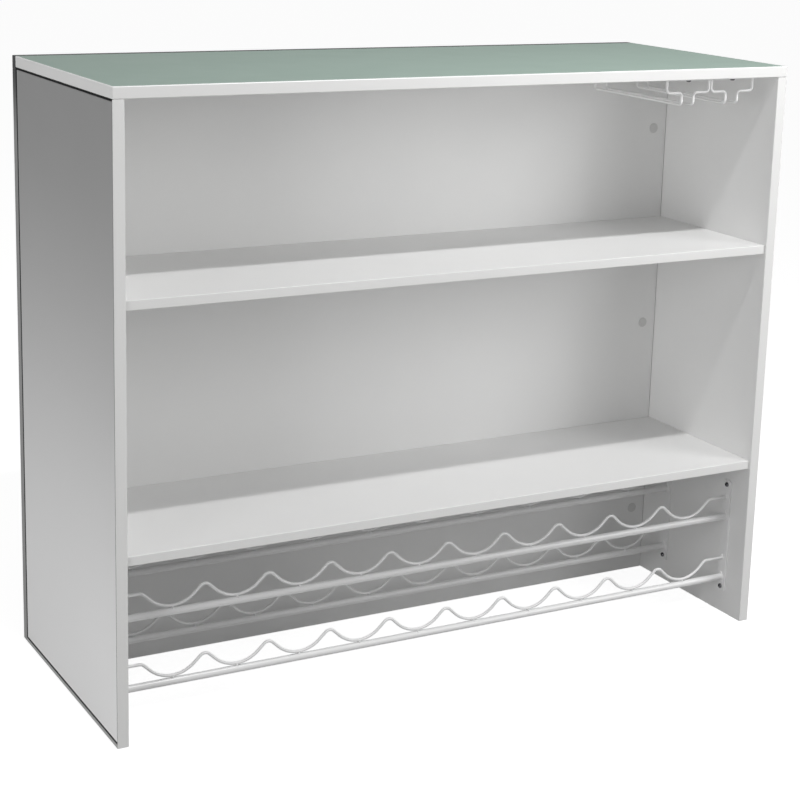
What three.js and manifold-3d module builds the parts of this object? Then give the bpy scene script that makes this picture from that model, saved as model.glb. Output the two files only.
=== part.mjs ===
// Home bar counter with two open shelves, a wire bottle rack and a hanging rack for stemmed glasses.
// Millimetres. +X is to the right as seen from the working side, +Y points to the customer side and
// +Z is up. The origin lies on the floor under the middle of the counter.
import * as THREE from 'three';
import { mergeVertices } from 'three/addons/utils/BufferGeometryUtils.js';
import Module from 'manifold-3d';

// Carcass
const WIDTH = 1200;
const HEIGHT = 1000;
const CARCASS_DEPTH = 450;
const TOP_THICKNESS = 18;
const SIDE_THICKNESS = 18;
const SHELF_THICKNESS = 15;
const BACK_PANEL_THICKNESS = 15;
const CUSTOMER_PANEL_THICKNESS = 18;
const SHELF_SETBACK = 4;
const UPPER_SHELF_TOP = 692;
const LOWER_SHELF_TOP = 303;

// Finishing sheets and bands
const TOP_SHEET_THICKNESS = 1.25;
const TOP_RIM_WIDTH = 2;
const SIDE_SHEET_THICKNESS = 3;
const GASKET_WIDTH = 5;
const GASKET_TOP_WIDTH = 3;
const GASKET_FLOOR_GAP = 5;
const BAND_THICKNESS = 1;
const EDGE_EASE = 0.75;

// Fits
const SEAT_GAP = 0.2;
const BACK_PANEL_SIDE_GAP = 0.75;
const HOLE_CLEARANCE = 0.35;
const CUT_OVERSHOOT = 1;
const MERGE_TOLERANCE = 1e-4;

// Bottle rack: two welded frames, one behind the other
const FRONT_FRAME_INSET = 57;
const FRAME_SPACING = 176;
const PLATE_WIDTH = 22;
const PLATE_THICKNESS = 2.5;
const PLATE_CORNER = 3;
const PLATE_FLOOR_GAP = 41;
const PLATE_SHELF_GAP = 37;
const PLATE_HOLE_INSET = 8;
const TUBE_DIAMETER = 12;
const TUBE_WALL = 1.25;
const LOWER_TUBE_RISE = 26;
const UPPER_TUBE_DROP = 68;
const WAVE_DIAMETER = 5;
const WAVE_PITCH = 108.75;
const WAVE_HEIGHT = 28.25;
const WAVE_FLANK = 14;
const WAVE_PEAK_RADIUS = 11;
const WAVE_LEAST_END_RUN = 20;

// Stemware rack: hanging wire units side by side under the countertop
const STEM_UNITS = 2;
const STEM_WIRE_DIAMETER = 4;
const STEM_FRONT_INSET = 20;
const STEM_RAIL_LENGTH = 252;
const STEM_REAR_GAP = 34;
const STEM_LEG_REACH = 43;
const STEM_RAIL_REACH = 12;
const STEM_SHOULDER_DROP = 23;
const STEM_RAIL_DROP = 43.5;
const STEM_BEND_RADIUS = 5;
const STEM_UNIT_GAP = 1;
const STEM_SIDE_GAP = 37;
const STRAP_WIDTH = 14;
const STRAP_THICKNESS = 2;
const STRAP_END = 10;

// The back panel stands behind the hanging rack, so that a glass foot can pass the rear wires
const BACK_PANEL_INSET = STEM_FRONT_INSET + STEM_RAIL_LENGTH + STEM_REAR_GAP;

// Screws
const SCREW_SHANK_DIAMETER = 4;
const SCREW_HEAD_DIAMETER = 8.5;
const SCREW_HEAD_HEIGHT = 3;
const SCREW_RIM_HEIGHT = 1.8;
const SCREW_RIM_INSET = 0.35;
const SCREW_CROWN_INSET = 1.7;
const SCREW_POINT_LENGTH = 4;
const SCREW_LENGTH = 12;

// Cam fittings that draw the back panel to the sides
const CAM_DIAMETER = 15;
const CAM_HEIGHT = 12;
const CAM_EDGE = 27.25;
const CAM_SPACING = 367;
const CAM_COVER_DIAMETER = 18;
const CAM_COVER_HEIGHT = 1;
const BOLT_SHAFT_DIAMETER = 6;
const BOLT_NECK_DIAMETER = 4;
const BOLT_NECK_LENGTH = 5;
const BOLT_HEAD_LENGTH = 3;
const BOLT_THREAD_DIAMETER = 5;
const BOLT_THREAD_LENGTH = 10;

// Facets
const ROUND_SIDES = 16;
const SMALL_SIDES = 10;
const WIRE_SIDES = 8;
const CORNER_STEPS = 4;
const BEND_STEPS = 3;
const PEAK_STEPS = 2;
const TROUGH_STEPS = 5;

// Planes that several pieces share
const halfWidth = WIDTH / 2;
const totalDepth = CARCASS_DEPTH + CUSTOMER_PANEL_THICKNESS;
const workingFace = -totalDepth / 2;
const carcassBack = workingFace + CARCASS_DEPTH;
const underside = HEIGHT - TOP_THICKNESS;
const sideTop = underside - SEAT_GAP;
const sideInner = halfWidth - SIDE_THICKNESS;
const sheetInner = halfWidth - SIDE_SHEET_THICKNESS;
const boardFront = workingFace + BAND_THICKNESS + SEAT_GAP;
const boardBack = carcassBack - SEAT_GAP;
const backPanelFace = workingFace + BACK_PANEL_INSET;
const lowerShelfUnderside = LOWER_SHELF_TOP - SHELF_THICKNESS;

const COLOURS = {
  board: { color: 0xe9e9e8, roughness: 0.45, metalness: 0 },
  surface: { color: 0x9bafa5, roughness: 0.35, metalness: 0 },
  sheet: { color: 0xaaacad, roughness: 0.3, metalness: 0 },
  gasket: { color: 0x17181a, roughness: 0.6, metalness: 0 },
  customer: { color: 0x2b2c2f, roughness: 0.35, metalness: 0 },
  wire: { color: 0xefefed, roughness: 0.35, metalness: 0 },
  screw: { color: 0x1c1c1e, roughness: 0.35, metalness: 0.8 },
  zinc: { color: 0xb7b7b5, roughness: 0.4, metalness: 0.6 },
};

const counter = new THREE.Group();

function addPiece(name, geometry, finish) {
  const mesh = new THREE.Mesh(geometry, new THREE.MeshStandardMaterial(COLOURS[finish]));
  mesh.name = name;
  counter.add(mesh);
}

// Cuts with closed solids
const wasm = await Module();
wasm.setup();

function solidOf(geometry) {
  const bare = new THREE.BufferGeometry();
  bare.setAttribute('position', geometry.getAttribute('position'));
  bare.setIndex(geometry.getIndex());
  const merged = mergeVertices(bare, MERGE_TOLERANCE);
  const vertProperties = merged.getAttribute('position').array;
  const triVerts = new Uint32Array(merged.getIndex().array);
  return new wasm.Manifold(new wasm.Mesh({ numProp: 3, vertProperties, triVerts }));
}

function geometryOf(solid) {
  const mesh = solid.getMesh();
  const geometry = new THREE.BufferGeometry();
  geometry.setAttribute('position', new THREE.BufferAttribute(mesh.vertProperties, 3));
  geometry.setIndex(new THREE.BufferAttribute(mesh.triVerts, 1));
  return geometry;
}

function cut(geometry, tools) {
  const left = tools.reduce((solid, tool) => solid.subtract(solidOf(tool)), solidOf(geometry));
  return geometryOf(left);
}

// Even permutations of the axes that lay a shape's own depth along X, Y or Z
const X = new THREE.Vector3(1, 0, 0);
const Y = new THREE.Vector3(0, 1, 0);
const Z = new THREE.Vector3(0, 0, 1);
const DEPTH_ALONG = {
  x: new THREE.Matrix4().makeBasis(Y, Z, X),
  y: new THREE.Matrix4().makeBasis(Z, X, Y),
  z: new THREE.Matrix4(),
};
const AXIS_ALONG = {
  x: new THREE.Matrix4().makeBasis(Z, X, Y),
  y: new THREE.Matrix4(),
  z: new THREE.Matrix4().makeBasis(Y, Z, X),
};
const PLANE_OF = { x: ['y', 'z'], y: ['z', 'x'], z: ['x', 'y'] };

// A plain box between two corners
function block(low, high) {
  const size = high.clone().sub(low);
  const middle = low.clone().add(high).multiplyScalar(0.5);
  return new THREE.BoxGeometry(size.x, size.y, size.z).translate(middle.x, middle.y, middle.z);
}

// A board between two corners, thin along one axis, with every edge eased by a small chamfer
function board(low, high, thin) {
  const ease = EDGE_EASE;
  const [across, up] = PLANE_OF[thin];
  const [a0, a1, b0, b1] = [low[across], high[across], low[up], high[up]];
  const outline = new THREE.Shape([
    new THREE.Vector2(a0 + ease, b0),
    new THREE.Vector2(a1 - ease, b0),
    new THREE.Vector2(a1, b0 + ease),
    new THREE.Vector2(a1, b1 - ease),
    new THREE.Vector2(a1 - ease, b1),
    new THREE.Vector2(a0 + ease, b1),
    new THREE.Vector2(a0, b1 - ease),
    new THREE.Vector2(a0, b0 + ease),
  ]);
  const geometry = new THREE.ExtrudeGeometry(outline, {
    depth: high[thin] - low[thin] - 2 * ease,
    bevelThickness: ease,
    bevelSize: ease,
    bevelOffset: -ease,
    bevelSegments: 1,
  });
  return geometry.translate(0, 0, low[thin] + ease).applyMatrix4(DEPTH_ALONG[thin]);
}

// A turned piece: radii against distance along an axis, from the axis back to it or round a closed ring
function turned(profile, axis, direction, sides) {
  const points = profile.map(([radius, along]) => new THREE.Vector2(radius, along * direction));
  if (direction < 0) points.reverse();
  return new THREE.LatheGeometry(points, sides).applyMatrix4(AXIS_ALONG[axis]);
}

function drill(radius, length, axis, direction, place) {
  const profile = [[0, 0], [radius, 0], [radius, length], [0, length]];
  return turned(profile, axis, direction, SMALL_SIDES).translate(place.x, place.y, place.z);
}

const at = (x, y, z) => new THREE.Vector3(x, y, z);

// A path that an extrusion follows from station to station, so that bends keep their own spacing
class StationPath extends THREE.Curve {
  constructor(stations) {
    super();
    this.stations = stations;
  }

  getPoint(t, target = new THREE.Vector3()) {
    const place = t * (this.stations.length - 1);
    const index = Math.min(Math.floor(place), this.stations.length - 2);
    return target.lerpVectors(this.stations[index], this.stations[index + 1], place - index);
  }

  getPointAt(u, target) {
    return this.getPoint(u, target);
  }

  getTangentAt(u, target = new THREE.Vector3()) {
    const index = Math.round(u * (this.stations.length - 1));
    const here = this.stations[index];
    const before = this.stations[Math.max(index - 1, 0)];
    const after = this.stations[Math.min(index + 1, this.stations.length - 1)];
    const arriving = here.clone().sub(before).normalize();
    const leaving = after.clone().sub(here).normalize();
    return target.copy(arriving).add(leaving).normalize();
  }
}

function wireAlong(stations, diameter) {
  const section = new THREE.Shape();
  for (let i = 0; i < WIRE_SIDES; i += 1) {
    const angle = ((i + 0.5) / WIRE_SIDES) * 2 * Math.PI;
    const point = [Math.cos(angle) * diameter / 2, Math.sin(angle) * diameter / 2];
    if (i === 0) section.moveTo(...point);
    else section.lineTo(...point);
  }
  section.closePath();
  return new THREE.ExtrudeGeometry(section, {
    steps: stations.length - 1,
    extrudePath: new StationPath(stations),
    bevelEnabled: false,
  });
}

// Corner points with each inner corner rounded to a bend
function bent(corners, radius) {
  const stations = [corners[0]];
  for (let i = 1; i < corners.length - 1; i += 1) {
    const corner = corners[i];
    const back = corners[i - 1].clone().sub(corner).normalize();
    const on = corners[i + 1].clone().sub(corner).normalize();
    const centre = corner.clone().addScaledVector(back, radius).addScaledVector(on, radius);
    for (let step = 0; step <= BEND_STEPS; step += 1) {
      const angle = (step / BEND_STEPS) * Math.PI / 2;
      const station = centre.clone();
      station.addScaledVector(on, -radius * Math.cos(angle));
      station.addScaledVector(back, -radius * Math.sin(angle));
      stations.push(station);
    }
  }
  stations.push(corners[corners.length - 1]);
  return stations;
}

// Pan head screw, head first, that seats its head at a place and drives in along an axis
function screw(axis, direction, place) {
  const head = SCREW_HEAD_DIAMETER / 2;
  const shank = SCREW_SHANK_DIAMETER / 2;
  const profile = [
    [0, -SCREW_HEAD_HEIGHT],
    [head - SCREW_CROWN_INSET, -SCREW_HEAD_HEIGHT],
    [head - SCREW_RIM_INSET, -SCREW_RIM_HEIGHT],
    [head, 0],
    [shank, 0],
    [shank, SCREW_LENGTH - SCREW_POINT_LENGTH],
    [0, SCREW_LENGTH],
  ];
  return turned(profile, axis, direction, SMALL_SIDES).translate(place.x, place.y, place.z);
}

function screwHole(length, axis, direction, place) {
  return drill(SCREW_SHANK_DIAMETER / 2 + HOLE_CLEARANCE, length, axis, direction, place);
}

// Places of the hardware that the boards are drilled for
const plateTop = lowerShelfUnderside - PLATE_SHELF_GAP;
const plateInner = sideInner - SEAT_GAP - PLATE_THICKNESS;
const plateScrewHeights = [PLATE_FLOOR_GAP + PLATE_HOLE_INSET, plateTop - PLATE_HOLE_INSET];
const frames = [
  { label: 'front', y: workingFace + FRONT_FRAME_INSET },
  { label: 'rear', y: workingFace + FRONT_FRAME_INSET + FRAME_SPACING },
];
const screwReach = SCREW_LENGTH + HOLE_CLEARANCE;

const stemHalf = STEM_LEG_REACH + STEM_WIRE_DIAMETER / 2;
const stemPitch = 2 * stemHalf + STEM_UNIT_GAP;
const lastStemCentre = sideInner - STEM_SIDE_GAP - stemHalf;
const stemFront = workingFace + STEM_FRONT_INSET;
const stemRear = stemFront + STEM_RAIL_LENGTH;
const strapUnder = underside - SEAT_GAP - STRAP_THICKNESS;
const stemCentres = [];
for (let unit = 0; unit < STEM_UNITS; unit += 1) {
  stemCentres.push(lastStemCentre - (STEM_UNITS - 1 - unit) * stemPitch);
}

const backPanelHalf = sideInner - BACK_PANEL_SIDE_GAP;
const boltDepth = backPanelFace + BACK_PANEL_THICKNESS / 2;
const camCentre = backPanelHalf - CAM_EDGE;
const camHeights = [-1, 0, 1].map((row) => sideTop / 2 + row * CAM_SPACING);
const SIDES = [
  { label: 'left', sign: -1 },
  { label: 'right', sign: 1 },
];

// Order the two ends of a span so that a mirrored piece still runs from low to high
const span = (sign, from, to) => [Math.min(sign * from, sign * to), Math.max(sign * from, sign * to)];

// Countertop: a white board, recessed for a coloured surface sheet that stops short of a narrow rim
function addCountertop() {
  const recessEdge = halfWidth - TOP_RIM_WIDTH;
  const recessFront = workingFace + TOP_RIM_WIDTH;
  const recessFloor = HEIGHT - TOP_SHEET_THICKNESS - SEAT_GAP;
  const recessBack = at(recessEdge, carcassBack + CUT_OVERSHOOT, HEIGHT + CUT_OVERSHOOT);
  const cuts = [block(at(-recessEdge, recessFront, recessFloor), recessBack)];
  for (const centre of stemCentres) {
    for (const y of [stemFront, stemRear]) {
      cuts.push(screwHole(screwReach + SEAT_GAP - STRAP_THICKNESS, 'z', 1, at(centre, y, underside)));
    }
  }
  const whole = board(at(-halfWidth, workingFace, underside), at(halfWidth, boardBack, HEIGHT), 'z');
  addPiece('countertop_board', cut(whole, cuts), 'board');
  const sheetLow = at(-recessEdge + SEAT_GAP, recessFront + SEAT_GAP, HEIGHT - TOP_SHEET_THICKNESS);
  addPiece('countertop_surface', block(sheetLow, at(recessEdge - SEAT_GAP, boardBack, HEIGHT)), 'surface');
}

// Sides: a drilled board, a thin outer sheet held in a three-sided gasket, and a band on the front edge
function addSides() {
  for (const { label, sign } of SIDES) {
    const [x0, x1] = span(sign, sideInner, sheetInner - SEAT_GAP);
    const holes = [];
    for (const frame of frames) {
      for (const z of plateScrewHeights) {
        const mouth = at(sign * sideInner, frame.y, z);
        holes.push(screwHole(screwReach - PLATE_THICKNESS, 'x', sign, mouth));
      }
    }
    for (const z of camHeights) {
      const radius = BOLT_THREAD_DIAMETER / 2 + HOLE_CLEARANCE;
      const length = BOLT_THREAD_LENGTH + HOLE_CLEARANCE;
      holes.push(drill(radius, length, 'x', sign, at(sign * sideInner, boltDepth, z)));
    }
    const whole = board(at(x0, boardFront, 0), at(x1, boardBack, sideTop), 'x');
    addPiece(`${label}_side_board`, cut(whole, holes), 'board');

    const [s0, s1] = span(sign, sheetInner, halfWidth);
    const sheetBottom = GASKET_FLOOR_GAP + GASKET_WIDTH + SEAT_GAP;
    const sheetTop = sideTop - GASKET_TOP_WIDTH - SEAT_GAP;
    const sheetBack = boardBack - GASKET_WIDTH - SEAT_GAP;
    addPiece(`${label}_side_sheet`, block(at(s0, boardFront, sheetBottom), at(s1, sheetBack, sheetTop)), 'sheet');

    const gasket = new THREE.Shape([
      new THREE.Vector2(boardFront, GASKET_FLOOR_GAP),
      new THREE.Vector2(boardBack, GASKET_FLOOR_GAP),
      new THREE.Vector2(boardBack, sideTop),
      new THREE.Vector2(boardFront, sideTop),
      new THREE.Vector2(boardFront, sideTop - GASKET_TOP_WIDTH),
      new THREE.Vector2(boardBack - GASKET_WIDTH, sideTop - GASKET_TOP_WIDTH),
      new THREE.Vector2(boardBack - GASKET_WIDTH, GASKET_FLOOR_GAP + GASKET_WIDTH),
      new THREE.Vector2(boardFront, GASKET_FLOOR_GAP + GASKET_WIDTH),
    ]);
    const strip = new THREE.ExtrudeGeometry(gasket, { depth: s1 - s0, bevelEnabled: false });
    addPiece(`${label}_side_gasket`, strip.translate(0, 0, s0).applyMatrix4(DEPTH_ALONG.x), 'gasket');

    const [b0, b1] = span(sign, sideInner, halfWidth);
    const band = block(at(b0, workingFace, 0), at(b1, workingFace + BAND_THICKNESS, sideTop));
    addPiece(`${label}_side_edge_band`, band, 'board');
  }
}

// Panels: the inset back panel, drilled for its cam fittings, and the panel on the customer side
function addPanels() {
  const holes = [];
  for (const { sign } of SIDES) {
    for (const z of camHeights) {
      const place = at(sign * camCentre, backPanelFace, z);
      const radius = CAM_DIAMETER / 2;
      const length = CAM_HEIGHT + HOLE_CLEARANCE;
      const bore = [
        [0, -CUT_OVERSHOOT],
        [radius, -CUT_OVERSHOOT],
        [radius, length],
        [0, length],
      ];
      holes.push(turned(bore, 'y', 1, ROUND_SIDES).translate(place.x, place.y, place.z));
      const boltBore = BOLT_SHAFT_DIAMETER / 2 + HOLE_CLEARANCE;
      const boltRun = CAM_EDGE + CUT_OVERSHOOT;
      holes.push(drill(boltBore, boltRun, 'x', sign, at(sign * camCentre, boltDepth, z)));
    }
  }
  const low = at(-backPanelHalf, backPanelFace, 0);
  const high = at(backPanelHalf, backPanelFace + BACK_PANEL_THICKNESS, sideTop);
  addPiece('back_panel', cut(board(low, high, 'y'), holes), 'board');

  const front = at(-halfWidth, carcassBack, 0);
  addPiece('customer_side_panel', board(front, at(halfWidth, totalDepth / 2, HEIGHT), 'y'), 'customer');
}

// Shelves: boards between the sides, set back from the working face, with a band on the front edge
function addShelves() {
  const half = sideInner - SEAT_GAP;
  const bandFace = workingFace + SHELF_SETBACK;
  const front = bandFace + BAND_THICKNESS + SEAT_GAP;
  for (const [label, top] of [['upper', UPPER_SHELF_TOP], ['lower', LOWER_SHELF_TOP]]) {
    const bottom = top - SHELF_THICKNESS;
    const plank = board(at(-half, front, bottom), at(half, backPanelFace - SEAT_GAP, top), 'z');
    addPiece(`${label}_shelf`, plank, 'board');
    const band = block(at(-half, bandFace, bottom), at(half, bandFace + BAND_THICKNESS, top));
    addPiece(`${label}_shelf_edge_band`, band, 'board');
  }
}

// Bottle rack: end plates on the sides, straight tubes between them and waved wires on the tubes
function endPlate(sign, y) {
  const r = PLATE_CORNER;
  const [y0, y1] = [y - PLATE_WIDTH / 2, y + PLATE_WIDTH / 2];
  const outline = new THREE.Shape();
  outline.moveTo(y0 + r, PLATE_FLOOR_GAP);
  outline.lineTo(y1 - r, PLATE_FLOOR_GAP);
  outline.absarc(y1 - r, PLATE_FLOOR_GAP + r, r, -Math.PI / 2, 0);
  outline.lineTo(y1, plateTop - r);
  outline.absarc(y1 - r, plateTop - r, r, 0, Math.PI / 2);
  outline.lineTo(y0 + r, plateTop);
  outline.absarc(y0 + r, plateTop - r, r, Math.PI / 2, Math.PI);
  outline.lineTo(y0, PLATE_FLOOR_GAP + r);
  outline.absarc(y0 + r, PLATE_FLOOR_GAP + r, r, Math.PI, 1.5 * Math.PI);
  for (const z of plateScrewHeights) {
    const hole = new THREE.Path();
    hole.absarc(y, z, SCREW_SHANK_DIAMETER / 2 + HOLE_CLEARANCE, 0, 2 * Math.PI, true);
    outline.holes.push(hole);
  }
  const plate = new THREE.ExtrudeGeometry(outline, {
    depth: PLATE_THICKNESS,
    bevelEnabled: false,
    curveSegments: CORNER_STEPS,
  });
  const [x0] = span(sign, plateInner, plateInner + PLATE_THICKNESS);
  return plate.translate(0, 0, x0).applyMatrix4(DEPTH_ALONG.x);
}

// Stations of one waved wire above a tube: a level run at each end, and round peaks and troughs that
// are joined by straight flanks
function waveStations(y, tubeHeight) {
  const half = WAVE_PITCH / 2;
  const slope = 2 * Math.atan(WAVE_HEIGHT / (half + WAVE_FLANK));
  const troughRadius = (half - WAVE_FLANK * Math.cos(slope)) / Math.sin(slope) - WAVE_PEAK_RADIUS;
  const trough = tubeHeight + (TUBE_DIAMETER + WAVE_DIAMETER) / 2 + SEAT_GAP;
  const peak = trough + WAVE_HEIGHT;
  const end = plateInner - SEAT_GAP;
  const count = Math.floor((2 * end - 2 * WAVE_LEAST_END_RUN) / WAVE_PITCH);
  const stations = [at(-end, y, peak)];
  const onPeak = (centre, angle) => {
    const x = centre + WAVE_PEAK_RADIUS * Math.sin(angle);
    return at(x, y, peak - WAVE_PEAK_RADIUS * (1 - Math.cos(angle)));
  };
  const onTrough = (centre, angle) => {
    const x = centre + troughRadius * Math.sin(angle);
    return at(x, y, trough + troughRadius * (1 - Math.cos(angle)));
  };
  stations.push(at((-count / 2) * WAVE_PITCH, y, peak));
  for (let i = 0; i < count; i += 1) {
    const centre = (i - (count - 1) / 2) * WAVE_PITCH;
    for (let step = 1; step <= PEAK_STEPS; step += 1) {
      stations.push(onPeak(centre - half, (step / PEAK_STEPS) * slope));
    }
    for (let step = 0; step <= TROUGH_STEPS; step += 1) {
      stations.push(onTrough(centre, ((2 * step) / TROUGH_STEPS - 1) * slope));
    }
    for (let step = 0; step <= PEAK_STEPS; step += 1) {
      stations.push(onPeak(centre + half, (step / PEAK_STEPS - 1) * slope));
    }
  }
  stations.push(at(end, y, peak));
  return stations;
}

function addBottleRack() {
  const tubeHalf = plateInner - SEAT_GAP;
  const bore = TUBE_DIAMETER / 2 - TUBE_WALL;
  const rows = [
    ['lower', PLATE_FLOOR_GAP + LOWER_TUBE_RISE],
    ['upper', plateTop - UPPER_TUBE_DROP],
  ];
  for (const { label, y } of frames) {
    for (const side of SIDES) {
      addPiece(`rack_${label}_${side.label}_plate`, endPlate(side.sign, y), 'wire');
      plateScrewHeights.forEach((z, i) => {
        const seat = at(side.sign * (plateInner - SEAT_GAP), y, z);
        const name = `rack_${label}_${side.label}_${i === 0 ? 'lower' : 'upper'}_screw`;
        addPiece(name, screw('x', side.sign, seat), 'screw');
      });
    }
    for (const [row, z] of rows) {
      const tube = turned(
        [
          [bore, -tubeHalf],
          [TUBE_DIAMETER / 2, -tubeHalf],
          [TUBE_DIAMETER / 2, tubeHalf],
          [bore, tubeHalf],
          [bore, -tubeHalf],
        ],
        'x',
        1,
        ROUND_SIDES,
      );
      addPiece(`rack_${label}_${row}_tube`, tube.translate(0, y, z), 'wire');
      addPiece(`rack_${label}_${row}_wave`, wireAlong(waveStations(y, z), WAVE_DIAMETER), 'wire');
    }
  }
}

// Stemware rack: a pair of bent wires per unit, welded to a strap in front and one at the rear
function addStemwareRack() {
  stemCentres.forEach((centre, i) => {
    const unit = `stem_rack_${i + 1}`;
    for (const { label, sign } of SIDES) {
      const rail = centre + sign * STEM_RAIL_REACH;
      const leg = centre + sign * STEM_LEG_REACH;
      const railHeight = underside - STEM_RAIL_DROP;
      const shoulder = underside - STEM_SHOULDER_DROP;
      const corners = [
        at(rail, stemRear, strapUnder - SEAT_GAP),
        at(rail, stemRear, railHeight),
        at(rail, stemFront, railHeight),
        at(rail, stemFront, shoulder),
        at(leg, stemFront, shoulder),
        at(leg, stemFront, strapUnder - SEAT_GAP),
      ];
      addPiece(`${unit}_${label}_wire`, wireAlong(bent(corners, STEM_BEND_RADIUS), STEM_WIRE_DIAMETER), 'wire');
    }
    const straps = [
      ['front', stemFront, stemHalf],
      ['rear', stemRear, STEM_RAIL_REACH + STRAP_END],
    ];
    for (const [label, y, half] of straps) {
      const low = at(centre - half, y - STRAP_WIDTH / 2, strapUnder);
      const flat = block(low, at(centre + half, y + STRAP_WIDTH / 2, underside - SEAT_GAP));
      const mouth = at(centre, y, strapUnder - CUT_OVERSHOOT);
      const hole = screwHole(STRAP_THICKNESS + 2 * CUT_OVERSHOOT, 'z', 1, mouth);
      addPiece(`${unit}_${label}_strap`, cut(flat, [hole]), 'wire');
      const seat = at(centre, y, strapUnder - SEAT_GAP);
      addPiece(`${unit}_${label}_screw`, screw('z', 1, seat), 'screw');
    }
  });
}

// Cam fittings: a bolt in the side, and in the back panel a covered cam that grips the bolt's head
function addCamFittings() {
  const cover = CAM_COVER_DIAMETER / 2;
  const cam = CAM_DIAMETER / 2 - HOLE_CLEARANCE;
  const camProfile = [
    [0, -CAM_COVER_HEIGHT],
    [cover - CAM_COVER_HEIGHT, -CAM_COVER_HEIGHT],
    [cover, -SEAT_GAP],
    [cam, -SEAT_GAP],
    [cam, CAM_HEIGHT],
    [0, CAM_HEIGHT],
  ];
  const shaft = BOLT_SHAFT_DIAMETER / 2;
  const neck = BOLT_NECK_DIAMETER / 2;
  const thread = BOLT_THREAD_DIAMETER / 2;
  const reach = BACK_PANEL_SIDE_GAP + CAM_EDGE;
  const boltProfile = [
    [0, -BOLT_THREAD_LENGTH],
    [thread, -BOLT_THREAD_LENGTH],
    [thread, SEAT_GAP],
    [shaft, SEAT_GAP],
    [shaft, reach - BOLT_NECK_LENGTH - BOLT_HEAD_LENGTH],
    [neck, reach - BOLT_NECK_LENGTH - BOLT_HEAD_LENGTH],
    [neck, reach - BOLT_HEAD_LENGTH],
    [shaft, reach - BOLT_HEAD_LENGTH],
    [shaft, reach],
    [0, reach],
  ];
  const slot = shaft + HOLE_CLEARANCE;
  for (const { label, sign } of SIDES) {
    camHeights.forEach((z, i) => {
      const [x0, x1] = span(sign, camCentre - slot, camCentre + CAM_DIAMETER);
      const mouth = block(at(x0, boltDepth - slot, z - slot), at(x1, boltDepth + slot, z + slot));
      const body = turned(camProfile, 'y', 1, ROUND_SIDES).translate(sign * camCentre, backPanelFace, z);
      addPiece(`cam_lock_${label}_${i + 1}`, cut(body, [mouth]), 'zinc');
      const bolt = turned(boltProfile, 'x', -sign, SMALL_SIDES).translate(sign * sideInner, boltDepth, z);
      addPiece(`cam_bolt_${label}_${i + 1}`, bolt, 'zinc');
    });
  }
}

addCountertop();
addSides();
addPanels();
addShelves();
addBottleRack();
addStemwareRack();
addCamFittings();

export default counter;
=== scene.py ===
# %% [markdown]
# # A home bar counter, dressed for its picture
#
# The counter is a white board carcass with a sage top, two open shelves, a wire rack for bottles near
# the floor and a wire rack for stemmed glasses under the top. Its boards, tubes and fittings arrive as
# plain solids at their real size. This lesson gives every surface its finish, and models again, with
# round and eased edges, the pieces whose sharp edges or facets would show.

# %% Load the plain solids
import math

import bmesh
import bpy
from mathutils import Matrix, Vector


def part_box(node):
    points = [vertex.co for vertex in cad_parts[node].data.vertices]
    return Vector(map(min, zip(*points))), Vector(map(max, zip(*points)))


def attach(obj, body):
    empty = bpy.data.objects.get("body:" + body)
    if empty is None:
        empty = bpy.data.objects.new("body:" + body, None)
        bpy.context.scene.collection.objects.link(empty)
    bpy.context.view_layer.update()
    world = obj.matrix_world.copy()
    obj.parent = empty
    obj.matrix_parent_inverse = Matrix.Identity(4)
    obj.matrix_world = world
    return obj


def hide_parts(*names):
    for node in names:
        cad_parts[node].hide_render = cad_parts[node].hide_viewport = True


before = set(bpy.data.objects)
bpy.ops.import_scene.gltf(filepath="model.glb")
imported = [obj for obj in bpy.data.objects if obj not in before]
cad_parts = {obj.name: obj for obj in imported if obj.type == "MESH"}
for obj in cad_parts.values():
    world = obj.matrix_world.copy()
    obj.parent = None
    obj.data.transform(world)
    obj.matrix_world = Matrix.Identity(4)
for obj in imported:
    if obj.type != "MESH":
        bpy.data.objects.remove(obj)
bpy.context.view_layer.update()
MM = 0.001

# %% [markdown]
# ## The camera
#
# The picture was taken from the left of the working side, a little above the top. A camera in Blender
# looks along its own -Z axis, so its turn is built from three directions: right, up and back. Unlike
# Euler angles, they keep the heading, the dip and the small roll of a hand-held camera easy to read. The
# lens is long, and a small downward shift of the sensor keeps the upright edges nearly parallel.

# %% Camera
PICTURE_PIXELS = 800
SENSOR_WIDTH = 36.0
FOCAL_PIXELS = 1857.5
OPTICAL_AXIS_ROW = 310
CAMERA_PLACE = Vector((-1.4836, -2.6916, 1.2917))
HEADING = math.radians(28.76)
DIP = math.radians(13.07)
ROLL = math.radians(1.56)


def camera_turn():
    """The turn of the camera. Its columns are the directions right, up and back."""
    ahead = Vector((
        math.sin(HEADING) * math.cos(DIP),
        math.cos(HEADING) * math.cos(DIP),
        -math.sin(DIP),
    ))
    level = Vector((math.cos(HEADING), -math.sin(HEADING), 0.0))
    above = level.cross(ahead)
    right = math.cos(ROLL) * level + math.sin(ROLL) * above
    up = math.cos(ROLL) * above - math.sin(ROLL) * level
    return Matrix((right, up, -ahead)).transposed().to_4x4()


bpy.ops.object.select_all(action="DESELECT")
bpy.ops.object.camera_add()
camera = bpy.context.object
camera.name = "picture_camera"
camera.matrix_world = Matrix.Translation(CAMERA_PLACE) @ camera_turn()
camera.data.sensor_width = SENSOR_WIDTH
camera.data.lens = SENSOR_WIDTH * FOCAL_PIXELS / PICTURE_PIXELS
camera.data.shift_y = (OPTICAL_AXIS_ROW - PICTURE_PIXELS / 2) / PICTURE_PIXELS
bpy.context.scene.camera = camera
bpy.context.scene.view_settings.view_transform = "Standard"
print("lens:", round(camera.data.lens, 1), "mm, shift:", round(camera.data.shift_y, 3))

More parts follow.
